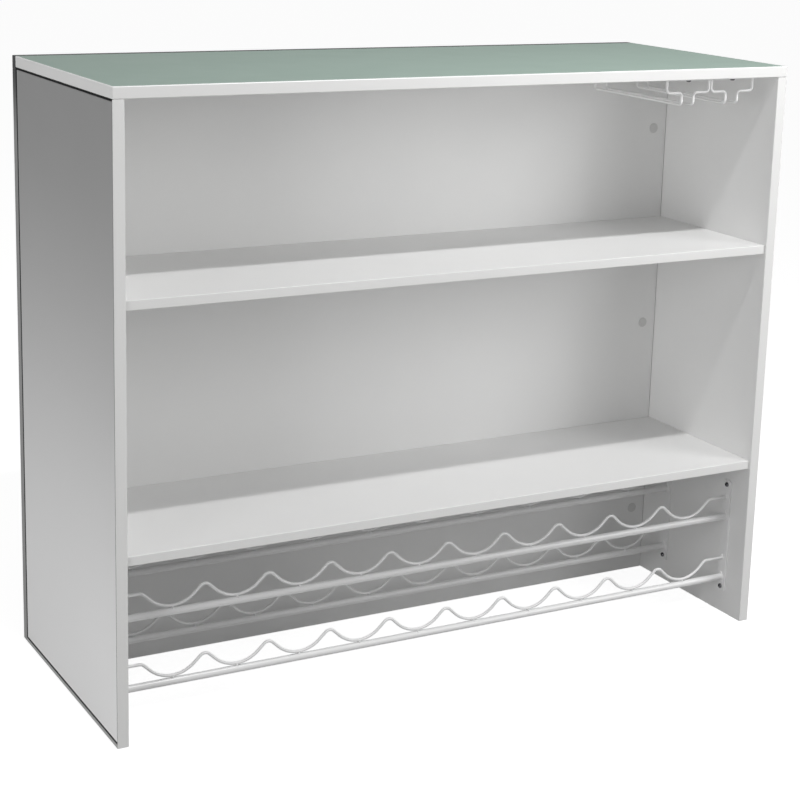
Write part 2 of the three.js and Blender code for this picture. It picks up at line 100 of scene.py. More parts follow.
# %% [markdown]
# ## White for the eye only
#
# The background is plain white. A floor that is merely lit to white would throw all that light back up
# under the shelves, and a white sky would wash out every shadow. So what the eye sees is told apart
# from what bounced light meets. The Light Path node knows whether a ray comes from the eye, off a glossy
# surface or through a clear one, and the sum of the three picks one of two shaders.

# %% One shader for the eye, one for bounced light
NODE_STEP = 220


def add_node(tree, kind, **settings):
    """Adds a node with its settings. In the node editor, nodes stand in a row."""
    node = tree.nodes.new(kind)
    node.location.x = NODE_STEP * len(tree.nodes)
    for key, value in settings.items():
        setattr(node, key, value)
    return node


def calculate(tree, operation, *terms, **settings):
    """The output of a new Math node. A term is a number or the output of a node."""
    node = add_node(tree, "ShaderNodeMath", operation=operation, **settings)
    for socket, term in zip(node.inputs, terms):
        if isinstance(term, bpy.types.NodeSocket):
            tree.links.new(term, socket)
        else:
            socket.default_value = term
    return node.outputs["Value"]


def seen_by_eye(tree):
    """One where the eye, a reflection or a clear material looks, and nought where light bounces."""
    ray = add_node(tree, "ShaderNodeLightPath").outputs
    direct = calculate(tree, "ADD", ray["Is Camera Ray"], ray["Is Glossy Ray"])
    return calculate(tree, "ADD", direct, ray["Is Transmission Ray"], use_clamp=True)


def split_by_ray(tree, bounced, seen, output_kind):
    """Gives one shader to bounced light and another to the eye."""
    mix = add_node(tree, "ShaderNodeMixShader")
    out = add_node(tree, output_kind)
    tree.links.new(seen_by_eye(tree), mix.inputs[0])
    tree.links.new(bounced.outputs[0], mix.inputs[1])
    tree.links.new(seen.outputs[0], mix.inputs[2])
    tree.links.new(mix.outputs[0], out.inputs["Surface"])


print("rays can be told apart")

# %% [markdown]
# ## The floor
#
# The counter stands on white, and all that shows of the floor is the soft shadow. Bounced light meets a
# pale diffuse floor. The eye sees a glow that is nearly white, with a weak diffuse part added to it,
# which falls off where the counter takes the light away. The floor lies a hair below the feet, so that
# no two faces share a plane.

# %% Floor
FLOOR_SIZE = 40.0
FLOOR_DROP = 0.3 * MM
FLOOR_BOUNCE = 0.35
FLOOR_GLOW = 0.86
FLOOR_SHADOW_SHARE = 0.5


def grey(level):
    return (level, level, level, 1)


def floor_finish():
    material = bpy.data.materials.new("pale_floor")
    material.use_nodes = True
    tree = material.node_tree
    tree.nodes.clear()
    bounced = add_node(tree, "ShaderNodeBsdfDiffuse")
    bounced.inputs["Color"].default_value = grey(FLOOR_BOUNCE)
    shade = add_node(tree, "ShaderNodeBsdfDiffuse")
    shade.inputs["Color"].default_value = grey(FLOOR_SHADOW_SHARE)
    glow = add_node(tree, "ShaderNodeEmission")
    glow.inputs["Strength"].default_value = FLOOR_GLOW
    seen = add_node(tree, "ShaderNodeAddShader")
    tree.links.new(glow.outputs[0], seen.inputs[0])
    tree.links.new(shade.outputs[0], seen.inputs[1])
    split_by_ray(tree, bounced, seen, "ShaderNodeOutputMaterial")
    return material


bpy.ops.object.select_all(action="DESELECT")
bpy.ops.mesh.primitive_plane_add(size=FLOOR_SIZE, location=(0, 0, -FLOOR_DROP))
floor = bpy.context.object
floor.name = "floor"
floor.data.materials.append(floor_finish())
print("floor", FLOOR_SIZE, "m wide")

# %% [markdown]
# ## The world
#
# A studio with pale walls lights every side of an object a little. The world stands for those walls: a
# weak even light for the counter, and full white for the eye.

# %% World
WORLD_LIGHT = 0.215


def studio_world():
    world = bpy.data.worlds.new("studio")
    world.use_nodes = True
    tree = world.node_tree
    tree.nodes.clear()
    soft = add_node(tree, "ShaderNodeBackground")
    soft.inputs["Strength"].default_value = WORLD_LIGHT
    white = add_node(tree, "ShaderNodeBackground")
    for sky in (soft, white):
        sky.inputs["Color"].default_value = grey(1)
    split_by_ray(tree, soft, white, "ShaderNodeOutputWorld")
    return world


bpy.context.scene.world = studio_world()
print("world strength", WORLD_LIGHT)

# %% [markdown]
# ## Lamps
#
# One small lamp hangs high in front of the counter, a little to the right, and draws the straight
# shadow of the top across the upper shelf. Softboxes at the right, in front and at the left fill the
# bays, and a weak one low at the left lights the foot of the outer side. All are round area lamps aimed
# at the middle of the counter, because the size of an area lamp sets how soft its shadow is.

# %% Lamps
LAMP_TARGET = Vector((0.0, -0.1, 0.6))
LAMPS = {
    "key_lamp": dict(place=Vector((0.40, -1.10, 2.46)), size=0.09, watts=23.2),
    "right_softbox": dict(place=Vector((1.7, -1.6, 1.45)), size=0.9, watts=16.3),
    "front_softbox": dict(place=Vector((1.5, -2.4, 1.0)), size=0.9, watts=7.6),
    "left_softbox": dict(place=Vector((-3.2, -1.6, 0.9)), size=1.4, watts=30.2),
    "low_left_softbox": dict(place=Vector((-1.8, 0.1, 0.12)), size=0.8, watts=3.3),
}


def add_lamp(name, place, size, watts):
    bpy.ops.object.light_add(type="AREA", location=place)
    lamp = bpy.context.object
    lamp.name = name
    lamp.rotation_euler = (LAMP_TARGET - place).to_track_quat("-Z", "Y").to_euler()
    lamp.data.shape = "DISK"
    lamp.data.size = size
    lamp.data.energy = watts
    print(name, "at", tuple(round(c, 2) for c in place), "with", watts, "W")


for name, lamp in LAMPS.items():
    add_lamp(name, **lamp)

# %% [markdown]
# ## The coating group
#
# Furniture board is never one flat colour: the printed paper under the lacquer clouds a little over a
# hand's width, and the press leaves a fine grain that breaks up every reflection. Paint and steel do the
# same at other sizes and tones, so one node group with named inputs serves every coated surface. It puts
# out a colour, a roughness and a height. The shader itself stays in each material.

# %% Shared group for clouded, finely grained coatings
COATING_SOCKETS = {
    "INPUT": {
        "Vector": "Vector", "Light Tone": "Color", "Dark Tone": "Color",
        "Cloud Scale": "Float", "Grain Scale": "Float", "Grain Share": "Float",
        "Smoothest": "Float", "Roughest": "Float",
    },
    "OUTPUT": {"Color": "Color", "Roughness": "Float", "Height": "Float"},
}
CLOUD_DETAIL = 3.0
GRAIN_DETAIL = 2.0


def coating_group():
    group = bpy.data.node_groups.new("Clouded coating", "ShaderNodeTree")
    for way, sockets in COATING_SOCKETS.items():
        for label, kind in sockets.items():
            group.interface.new_socket(label, in_out=way, socket_type=f"NodeSocket{kind}")
    given = add_node(group, "NodeGroupInput").outputs
    cloud = add_node(group, "ShaderNodeTexNoise")
    grain = add_node(group, "ShaderNodeTexNoise")
    blend = add_node(group, "ShaderNodeMix", data_type="FLOAT")
    tone = add_node(group, "ShaderNodeMix", data_type="RGBA")
    rough = add_node(group, "ShaderNodeMapRange")
    out = add_node(group, "NodeGroupOutput").inputs
    cloud.inputs["Detail"].default_value = CLOUD_DETAIL
    grain.inputs["Detail"].default_value = GRAIN_DETAIL
    for source, target in (
        (given["Vector"], cloud.inputs["Vector"]),
        (given["Vector"], grain.inputs["Vector"]),
        (given["Cloud Scale"], cloud.inputs["Scale"]),
        (given["Grain Scale"], grain.inputs["Scale"]),
        (given["Grain Share"], blend.inputs["Factor"]),
        (cloud.outputs["Fac"], blend.inputs["A"]),
        (grain.outputs["Fac"], blend.inputs["B"]),
        (blend.outputs["Result"], tone.inputs["Factor"]),
        (given["Light Tone"], tone.inputs["A"]),
        (given["Dark Tone"], tone.inputs["B"]),
        (blend.outputs["Result"], rough.inputs["Value"]),
        (given["Smoothest"], rough.inputs["To Min"]),
        (given["Roughest"], rough.inputs["To Max"]),
        (tone.outputs["Result"], out["Color"]),
        (rough.outputs["Result"], out["Roughness"]),
        (grain.outputs["Fac"], out["Height"]),
    ):
        group.links.new(source, target)
    return group


COATING = coating_group()
print("group:", COATING.name, "with", len(COATING.nodes), "nodes")

# %% [markdown]
# ## A coated material
#
# A coat is the group in front of one shader. Colour and roughness go straight in, and the height goes
# through a Bump node, so that the grain catches the light without extra faces. Object coordinates place
# the clouds and the grain, because they need no unwrapping and keep one size on board and cover.

# %% Coated material
BUMP_STRENGTH = 0.5
PLAIN_SHINE = 0.5


def tone_of(red, green, blue):
    """A colour as on a screen, 0 to 255, turned by the sRGB curve into the linear values of shaders."""
    def linear(value):
        share = value / 255
        return share / 12.92 if share <= 0.04045 else ((share + 0.055) / 1.055) ** 2.4
    return (linear(red), linear(green), linear(blue), 1.0)


def coated(name, light, dark, cloud, grain, share, rough, bump, shine=PLAIN_SHINE, metallic=0.0):
    """A coated material. The sizes of clouds, grain and bumps are in millimetres."""
    material = bpy.data.materials.new(name)
    material.use_nodes = True
    tree = material.node_tree
    shader = tree.nodes["Principled BSDF"]
    shader.inputs["Specular IOR Level"].default_value = shine
    shader.inputs["Metallic"].default_value = metallic
    place = add_node(tree, "ShaderNodeTexCoord")
    coat = add_node(tree, "ShaderNodeGroup", node_tree=COATING)
    for socket, value in (
        ("Light Tone", tone_of(*light)),
        ("Dark Tone", tone_of(*dark)),
        ("Cloud Scale", 1 / (cloud * MM)),
        ("Grain Scale", 1 / (grain * MM)),
        ("Grain Share", share),
        ("Smoothest", rough[0]),
        ("Roughest", rough[1]),
    ):
        coat.inputs[socket].default_value = value
    height = add_node(tree, "ShaderNodeBump")
    height.inputs["Strength"].default_value = BUMP_STRENGTH
    height.inputs["Distance"].default_value = bump * MM
    tree.links.new(place.outputs["Object"], coat.inputs["Vector"])
    tree.links.new(coat.outputs["Color"], shader.inputs["Base Color"])
    tree.links.new(coat.outputs["Roughness"], shader.inputs["Roughness"])
    tree.links.new(coat.outputs["Height"], height.inputs["Height"])
    tree.links.new(height.outputs["Normal"], shader.inputs["Normal"])
    return material


print("bump strength", BUMP_STRENGTH)

# %% [markdown]
# ## The coats
#
# One group serves every coat, and numbers tell them apart: paper on board clouds over a hand's width,
# powder coat on wire is smoother, screws and bolts are metal, and rubber, lacquer and dark board shine
# less. A row gives the light and the dark tone, the sizes of clouds and grain, the share of the grain,
# the smoothest and the roughest value and the height of the bumps. The hanging wires under the top are
# the same white wire as the bottle rack, painted a slightly lighter white as painted light, which makes
# up for the light that the top keeps from them.

# %% Coats of all surfaces
WIRE_COAT = dict(cloud=25, grain=1.4, share=0.5, rough=(0.24, 0.36), bump=0.02)
COATS = {
    "white_board": dict(
        light=(238, 238, 237), dark=(232, 232, 232),
        cloud=130, grain=1.1, share=0.35, rough=(0.36, 0.52), bump=0.05,
    ),
    "white_band": dict(
        light=(233, 233, 232), dark=(228, 228, 227),
        cloud=90, grain=0.9, share=0.3, rough=(0.3, 0.42), bump=0.03,
    ),
    "sage_surface": dict(
        light=(151, 171, 161), dark=(144, 164, 154),
        cloud=60, grain=1.6, share=0.6, rough=(0.45, 0.6), bump=0.04, shine=0.1,
    ),
    "black_gasket": dict(
        light=(14, 14, 15), dark=(9, 9, 10),
        cloud=20, grain=0.7, share=0.5, rough=(0.5, 0.7), bump=0.05, shine=0.04,
    ),
    "grey_strip": dict(
        light=(180, 180, 180), dark=(172, 172, 172),
        cloud=40, grain=1.0, share=0.4, rough=(0.4, 0.55), bump=0.03, shine=0.15,
    ),
    "grey_sheet": dict(
        light=(151, 151, 151), dark=(151, 151, 151),
        cloud=110, grain=1.2, share=0.4, rough=(0.4, 0.52), bump=0.03, shine=0.15,
    ),
    "dark_board": dict(
        light=(38, 39, 41), dark=(30, 31, 33),
        cloud=90, grain=1.3, share=0.45, rough=(0.4, 0.55), bump=0.05, shine=0.1,
    ),
    "white_wire": dict(light=(238, 238, 238), dark=(231, 231, 231), **WIRE_COAT),
    # Painted light: the same white wire, painted lighter to make up for the shade under the top.
    "stem_wire": dict(light=(250, 250, 250), dark=(243, 243, 243), **WIRE_COAT),
    "cam_cover": dict(
        light=(214, 214, 213), dark=(206, 206, 205),
        cloud=8, grain=0.8, share=0.5, rough=(0.4, 0.55), bump=0.04,
    ),
    "black_screw": dict(
        light=(92, 92, 95), dark=(70, 70, 73),
        cloud=3, grain=0.5, share=0.5, rough=(0.16, 0.3), bump=0.02, metallic=1.0,
    ),
    "zinc_bolt": dict(
        light=(190, 190, 188), dark=(160, 160, 160),
        cloud=5, grain=0.6, share=0.4, rough=(0.3, 0.5), bump=0.02, metallic=1.0,
    ),
}
FINISH = {name: coated(name, **coat) for name, coat in COATS.items()}
print("coats:", ", ".join(FINISH))

# %% [markdown]
# ## The grey outer side
#
# The sheet on the outside of each side is lacquered grey. Painted light runs over it from dark near the
# top to light near the floor, in place of light bounced up from the floor, and painted shade darkens a
# thin line along its cut front edge, in the gap beside the white band. Both are tones laid over the coat
# by a share that Object coordinates give.

# %% Finish of the outer sheets
# Painted light: the tone that the grey sheet is painted in near the floor, fading out towards its top,
# in place of light bounced from the floor.
SHEET_PAINTED_LIGHT = (245, 245, 245)
# Painted shade: a thin dark line along the sheet's front edge, where shade falls in the gap beside the
# white band.
SEAM_SHADE_TONE = (95, 95, 95)
SEAM_SHADE_WIDTH = 1.5 * MM


def object_axes(material):
    """The outputs X, Y and Z of a coated material's Object coordinates."""
    tree = material.node_tree
    axes = add_node(tree, "ShaderNodeSeparateXYZ")
    tree.links.new(tree.nodes["Texture Coordinate"].outputs["Object"], axes.inputs["Vector"])
    return axes.outputs


def fade_with_height(material, height, full, gone):
    """A share that is one up to the height full, and runs softly to nought at the height gone."""
    tree = material.node_tree
    fade = add_node(tree, "ShaderNodeMapRange", interpolation_type="SMOOTHSTEP")
    for socket, value in (("From Min", full), ("From Max", gone), ("To Min", 1), ("To Max", 0)):
        fade.inputs[socket].default_value = value
    tree.links.new(height, fade.inputs["Value"])
    return fade.outputs["Result"]


def paint_over(material, tone, share):
    """Lays a tone over a coated material where the share, the output of a node, is one."""
    tree = material.node_tree
    colour = tree.nodes["Principled BSDF"].inputs["Base Color"]
    over = add_node(tree, "ShaderNodeMix", data_type="RGBA")
    over.inputs["B"].default_value = tone_of(*tone)
    tree.links.new(share, over.inputs["Factor"])
    tree.links.new(colour.links[0].from_socket, over.inputs["A"])
    tree.links.new(over.outputs["Result"], colour)


def paint_sheet_light_and_shade(material, node):
    low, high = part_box(node)
    axes = object_axes(material)
    # Painted light: the sheet is painted lighter towards the floor.
    paint_over(material, SHEET_PAINTED_LIGHT, fade_with_height(material, axes["Z"], low.z, high.z))
    # Painted shade in the gap along the sheet's front edge.
    shaded_seam = calculate(material.node_tree, "LESS_THAN", axes["Y"], low.y + SEAM_SHADE_WIDTH)
    paint_over(material, SEAM_SHADE_TONE, shaded_seam)


paint_sheet_light_and_shade(FINISH["grey_sheet"], "left_side_sheet")
print("outer sheets graded, with a seam of", SEAM_SHADE_WIDTH / MM, "mm")

# %% [markdown]
# ## The edges of the customer panel
#
# The panel on the customer side is dark, but its upright edges look grey and turn dark only close to the
# top. No extra piece is needed for that: one mask marks the outer millimetres at both ends of the panel,
# a second one fades out with the height, and their product is the share of the grey.

# %% Finish of the panel's edges
EDGE_GREY = (150, 150, 150)
EDGE_DEPTH = 1.5 * MM
EDGE_GREY_HEIGHT = 0.86
EDGE_DARK_HEIGHT = 0.98


def grey_upright_edges(material, node):
    tree = material.node_tree
    axes = object_axes(material)
    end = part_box(node)[1].x - EDGE_DEPTH
    off_centre = calculate(tree, "ABSOLUTE", axes["X"])
    at_end = calculate(tree, "GREATER_THAN", off_centre, end)
    fade = fade_with_height(material, axes["Z"], EDGE_GREY_HEIGHT, EDGE_DARK_HEIGHT)
    paint_over(material, EDGE_GREY, calculate(tree, "MULTIPLY", at_end, fade))


grey_upright_edges(FINISH["dark_board"], "customer_side_panel")
print("panel edges grey below", EDGE_GREY_HEIGHT, "m")

# %% [markdown]
# ## The rim of the top
#
# The rounded corner of the narrow rim round the coloured sheet faces up into the light, so a painted
# highlight makes it the lightest white on the counter. The finish is a copy of the bands' coat, with a
# lighter tone painted over the last millimetre of the height as that highlight.

# %% Finish of the top's edges
# Painted highlight: the light tone of the rim's rounded corner, where it faces the light from above.
RIM_HIGHLIGHT_TONE = (254, 254, 254)
RIM_HIGHLIGHT_HEIGHT = 1.3 * MM


def paint_rim_highlight(material, node):
    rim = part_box(node)[1].z - RIM_HIGHLIGHT_HEIGHT
    height = object_axes(material)["Z"]
    highlit_rim_share = calculate(material.node_tree, "GREATER_THAN", height, rim)
    paint_over(material, RIM_HIGHLIGHT_TONE, highlit_rim_share)


FINISH["highlit_top_edge"] = FINISH["white_band"].copy()
FINISH["highlit_top_edge"].name = "highlit_top_edge"
paint_rim_highlight(FINISH["highlit_top_edge"], "countertop_board")
print("painted rim highlight over", RIM_HIGHLIGHT_HEIGHT / MM, "mm")

# %% [markdown]
# ## Selecting by a test
#
# By hand, a piece is modelled by selecting an edge or a face and pushing it. In a script the hand is
# replaced by a test: pick every edge or face whose place or direction passes it. That keeps working when
# a size changes, which a list of numbered edges would not.

# %% Selecting
TINY = 1e-6
SQUARE_ON = 0.99  # cosine from which a face or an edge counts as square to an axis
ALONG, ACROSS, UPWARD = (Vector(axis) for axis in ((1, 0, 0), (0, 1, 0), (0, 0, 1)))


def select_only(*pieces):
    """Selects these pieces alone, and makes the first the active one."""
    bpy.ops.object.select_all(action="DESELECT")
    for piece in pieces:
        piece.select_set(True)
    if pieces:
        bpy.context.view_layer.objects.active = pieces[0]


def start_editing(piece):
    select_only(piece)
    bpy.ops.object.mode_set(mode="EDIT")
    bpy.ops.mesh.select_mode(type="VERT")


def stop_editing():
    bpy.ops.object.mode_set(mode="OBJECT")


def pick_edges(piece, test):
    """Selects the edges that pass the test, which is given their middle and direction."""
    bpy.ops.mesh.select_mode(type="EDGE")
    bpy.ops.mesh.select_all(action="DESELECT")
    mesh = bmesh.from_edit_mesh(piece.data)
    for edge in mesh.edges:
        start, end = edge.verts[0].co, edge.verts[1].co
        edge.select_set(test((start + end) / 2, (end - start).normalized()))
    mesh.select_flush_mode()
    bmesh.update_edit_mesh(piece.data)


def pick_faces(piece, test):
    """Selects the faces that pass the test, which is given their middle and normal."""
    bpy.ops.mesh.select_mode(type="FACE")
    bpy.ops.mesh.select_all(action="DESELECT")
    mesh = bmesh.from_edit_mesh(piece.data)
    mesh.normal_update()
    for face in mesh.faces:
        face.select_set(test(face.calc_center_median(), face.normal))
    mesh.select_flush_mode()
    bmesh.update_edit_mesh(piece.data)


print("tests reach within", TINY, "m")

# %% [markdown]
# ## Tools of the bench
#
# Few tools make most boards: a block to start from, a pull on what is selected, and rounding. A new
# block is settled at once: its place goes into its mesh, and its object stays at the origin.

# %% Making and shaping
ROUND_STEPS = 3


def settle(name):
    """Names the new primitive, and puts its place, turn and size into its mesh."""
    piece = bpy.context.object
    piece.name = name
    bpy.ops.object.transform_apply(location=True, rotation=True, scale=True)
    return piece


def add_block(name, low, high):
    """A cube between two corners, as the start of a board."""
    select_only()
    bpy.ops.mesh.primitive_cube_add(size=1, location=(low + high) / 2, scale=high - low)
    return settle(name)


def extrude(move):
    """Pulls what is selected out of the mesh along a way."""
    bpy.ops.mesh.extrude_region_move(TRANSFORM_OT_translate={"value": move})


def round_edges(width):
    """Rounds the selected edges over the given width."""
    bpy.ops.mesh.bevel(offset=width, segments=ROUND_STEPS, affect="EDGES")


def turn_normals_out():
    bpy.ops.mesh.select_all(action="SELECT")
    bpy.ops.mesh.normals_make_consistent(inside=False)


print("rounds take", ROUND_STEPS, "steps")

# %% [markdown]
# ## Handing a piece over
#
# A finished piece is shaded smooth across its rounds and flat on its faces. The Weighted Normal modifier
# makes the large faces win, so that a bevelled board does not look like a pillow. Then the piece takes
# its finish, rides on the counter and stands in for the plain solid that it replaces.

# %% Finishing
SMOOTH_ANGLE = math.radians(35)


def finish_piece(piece, slot, *nodes, finish=None):
    """Smooths, coats and hands over a piece that stands for the given plain solids."""
    select_only(piece)
    bpy.ops.object.shade_smooth_by_angle(angle=SMOOTH_ANGLE)
    flat_faces = piece.modifiers.new("flat_faces", "WEIGHTED_NORMAL")
    flat_faces.keep_sharp = True
    bpy.ops.object.modifier_apply(modifier=flat_faces.name)
    piece.data.materials.clear()
    piece.data.materials.append(FINISH[finish or slot])
    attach(piece, "root")
    if nodes:
        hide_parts(*nodes)
    return piece


print("pieces can be handed over")

# %% [markdown]
# ## The countertop
#
# The top is a thick board with white edges, and its coloured sheet lies in a shallow recess inside a
# narrow rim at both ends and along the front. On the real one the edges are glued on and trimmed. Here a
# block is made up to the floor of the recess, its top face is divided by three bisections, the rim is
# pulled up and the outer edges are rounded. That leaves cleaner faces than a Boolean cut.

# %% Countertop with its recess
RIM_GAP = 0.2 * MM
TOP_EDGE_ROUND = 1.3 * MM


def countertop():
    low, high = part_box("countertop_board")
    sheet_low, sheet_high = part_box("countertop_surface")
    recess = sheet_low.z - RIM_GAP
    side = sheet_high.x + RIM_GAP
    front = sheet_low.y - RIM_GAP

    def on_top(middle, facing):
        return facing.z > SQUARE_ON

    def on_rim(middle, facing):
        return on_top(middle, facing) and (abs(middle.x) > side or middle.y < front)

    def outer_edge(middle, along):
        at_end = abs(abs(middle.x) - high.x) < TINY
        at_front = abs(middle.y - low.y) < TINY
        at_flat = min(abs(middle.z - low.z), abs(middle.z - high.z)) < TINY
        return at_end + at_front + at_flat > 1

    piece = add_block("countertop_with_rim", low, Vector((high.x, high.y, recess)))
    start_editing(piece)
    for point, normal in ((-side * ALONG, ALONG), (side * ALONG, ALONG), (front * ACROSS, ACROSS)):
        pick_faces(piece, on_top)
        bpy.ops.mesh.bisect(plane_co=point, plane_no=normal)
    pick_faces(piece, on_rim)
    extrude((0, 0, high.z - recess))
    pick_edges(piece, outer_edge)
    round_edges(TOP_EDGE_ROUND)
    turn_normals_out()
    stop_editing()
    return piece


# The edges of the top take the finish with the painted highlight on the rim.
top = finish_piece(countertop(), "white_board", "countertop_board", finish="highlit_top_edge")
print("countertop of", len(top.data.polygons), "faces")

# %% [markdown]
# ## Boards, bands and sheets
#
# A sawn board has eased edges, and the thin band glued on its front edge is rounded over with a block,
# which is the light line along each shelf. A block at the board's size is the start, and the bevel
# operator eases the edges that a hand would ease: all of them on boards and sheets, the front ones only
# on the bands.

# %% Shelves, bands, sheets and the customer panel
SIDES = ("left", "right")
SHEET_EDGE_ROUND = 0.25 * MM
BOARD_EASE = 0.75 * MM
PANEL_EASE = 1.2 * MM
BAND_ROUND = 0.9 * MM
SHEET_EASE = 0.5 * MM


def every_edge(middle, along):
    return True


def eased_block(name, low, high, ease, test=every_edge):
    piece = add_block(name, low, high)
    start_editing(piece)
    pick_edges(piece, test)
    round_edges(ease)
    stop_editing()
    return piece


def eased_board(name, node, slot, ease, test=every_edge):
    return finish_piece(eased_block(name, *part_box(node), ease, test), slot, node)


def band(name, node, lengthwise=False):
    """A band with rounded front edges, or with only the lengthwise ones rounded."""
    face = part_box(node)[0].y

    def front_edge(middle, along):
        return abs(middle.y - face) < TINY and (not lengthwise or abs(along.x) > SQUARE_ON)

    return eased_board(name, node, "white_band", BAND_ROUND, front_edge)


eased_board("sage_top_sheet", "countertop_surface", "sage_surface", SHEET_EDGE_ROUND)
for level in ("upper", "lower"):
    eased_board(f"{level}_shelf_board", f"{level}_shelf", "white_board", BOARD_EASE)
    band(f"{level}_shelf_band", f"{level}_shelf_edge_band", lengthwise=True)
for side in SIDES:
    band(f"{side}_side_band", f"{side}_side_edge_band")
    eased_board(f"{side}_outer_sheet", f"{side}_side_sheet", "grey_sheet", SHEET_EASE)
eased_board("customer_panel", "customer_side_panel", "dark_board", PANEL_EASE)
print("boards eased by", BOARD_EASE / MM, "mm")

# %% [markdown]
# ## Gaskets, plates and straps
#
# These are flat pieces with drilled holes or a bent outline. Their solids already have the right shape,
# with knife-sharp edges. A copy of the solid is merged, its flat faces are joined again, and a Bevel
# modifier that works by angle rounds every sharp edge. A gasket's lower leg is trimmed to a line first.

# %% Rounded copies of flat pieces
ROWS = ("front", "rear")
UNITS = (1, 2)
FLAT_ANGLE = math.radians(1)
SHARP_ANGLE = math.radians(60)
COPY_ROUND_STEPS = 2
GASKET_ROUND = 0.5 * MM
GASKET_TRIM = 1.4 * MM
STEEL_ROUND = 0.45 * MM


def rounded_copy(name, node, slot, radius, trim=0):
    """A copy of a plain solid with rounded edges, and with its foot raised by the trim."""
    piece = bpy.data.objects.new(name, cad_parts[node].data.copy())
    bpy.context.collection.objects.link(piece)
    start_editing(piece)
    bpy.ops.mesh.select_all(action="SELECT")
    bpy.ops.mesh.remove_doubles(threshold=TINY)
    bpy.ops.mesh.dissolve_limited(angle_limit=FLAT_ANGLE)
    if trim:
        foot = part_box(node)[0].z
        pick_faces(piece, lambda middle, facing: abs(middle.z - foot) < TINY)
        bpy.ops.transform.translate(value=(0, 0, trim))
    stop_editing()
    bpy.ops.mesh.customdata_custom_splitnormals_clear()
    rounding = piece.modifiers.new("rounding", "BEVEL")
    rounding.width = radius
    rounding.segments = COPY_ROUND_STEPS
    rounding.limit_method = "ANGLE"
    rounding.angle_limit = SHARP_ANGLE
    bpy.ops.object.modifier_apply(modifier=rounding.name)
    return finish_piece(piece, slot, node)


for side in SIDES:
    rounded_copy(f"{side}_gasket", f"{side}_side_gasket", "black_gasket", GASKET_ROUND, GASKET_TRIM)
for row in ROWS:
    for side in SIDES:
        plate = f"rack_{row}_{side}"
        rounded_copy(f"{plate}_end_plate", f"{plate}_plate", "white_wire", STEEL_ROUND)
    for unit in UNITS:
        strap = f"stem_rack_{unit}_{row}"
        rounded_copy(f"{strap}_bar", f"{strap}_strap", "white_wire", STEEL_ROUND)
print("steel edges rounded by", STEEL_ROUND / MM, "mm")

# %% [markdown]
# ## Foot strips
#
# Below each gasket a narrow grey strip closes the last millimetres down to the floor. It is a thin trim,
# so an eased block is enough, with a small gap that keeps the line above it sharp.

# %% Foot strips
STRIP_GAP = 0.2 * MM
STRIP_EASE = 0.4 * MM

for side in SIDES:
    low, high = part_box(f"{side}_side_gasket")
    foot = Vector((low.x, low.y, 0))
    head = Vector((high.x, high.y, low.z + GASKET_TRIM - STRIP_GAP))
    strip = eased_block(f"{side}_foot_strip", foot, head, STRIP_EASE)
    finish_piece(strip, "grey_sheet", finish="grey_strip")
    print(strip.name, round(head.z / MM, 1), "mm high")

# %% [markdown]
# ## Bending wire
#
# A wire bender has two moves: feed the wire forward, and bend it round a roller. Blender has the same
# two: extruding a ring of points moves the end of the wire straight on, and spinning the ring about a
# centre bends it. The ring stays selected after each move, so a list of feeds and bends is the whole
# wire. Spin turns clockwise about its axis, so the angle is given with its sign changed.

# %% Feed and bend
WIRE_SIDES = 16


def start_wire(name, place, heading, diameter):
    """Starts a wire with a ring of points, which stays selected for the first feed."""
    select_only()
    bpy.ops.mesh.primitive_circle_add(
        vertices=WIRE_SIDES,
        radius=diameter / 2,
        location=place,
        rotation=heading.to_track_quat("Z", "Y").to_euler(),
    )
    piece = settle(name)
    start_editing(piece)
    bpy.ops.mesh.select_all(action="SELECT")
    return piece


feed = extrude


def bend(angle, centre, axis, steps):
    bpy.ops.mesh.spin(steps=steps, angle=-angle, center=centre, axis=axis)


def end_wire():
    """Merges the rings, closes both ends and leaves edit mode."""
    bpy.ops.mesh.select_all(action="SELECT")
    bpy.ops.mesh.remove_doubles(threshold=TINY)
    bpy.ops.mesh.fill_holes(sides=0)
    bpy.ops.mesh.normals_make_consistent(inside=False)
    stop_editing()


print("wire of", WIRE_SIDES, "sides")

# %% [markdown]
# ## The waved wires of the bottle rack
#
# Each wave cradles ten bottles: round troughs a little wider than a bottle, tight peaks between them,
# and short straight flanks where one bend ends before the next begins. Pitch, flank and peak radius
# are the bender's settings, the height comes from the solid, and the slope of the flank and the radius
# of the trough follow from them.

# %% Waves
WAVE_PITCH = 108.75 * MM
WAVE_FLANK = 14 * MM
WAVE_DIAMETER = 5 * MM
PEAK_RADIUS = 11 * MM
BOTTLES = 10
PEAK_STEPS = 6
TROUGH_STEPS = 14
FIRST_ROW = "rack_front_lower"


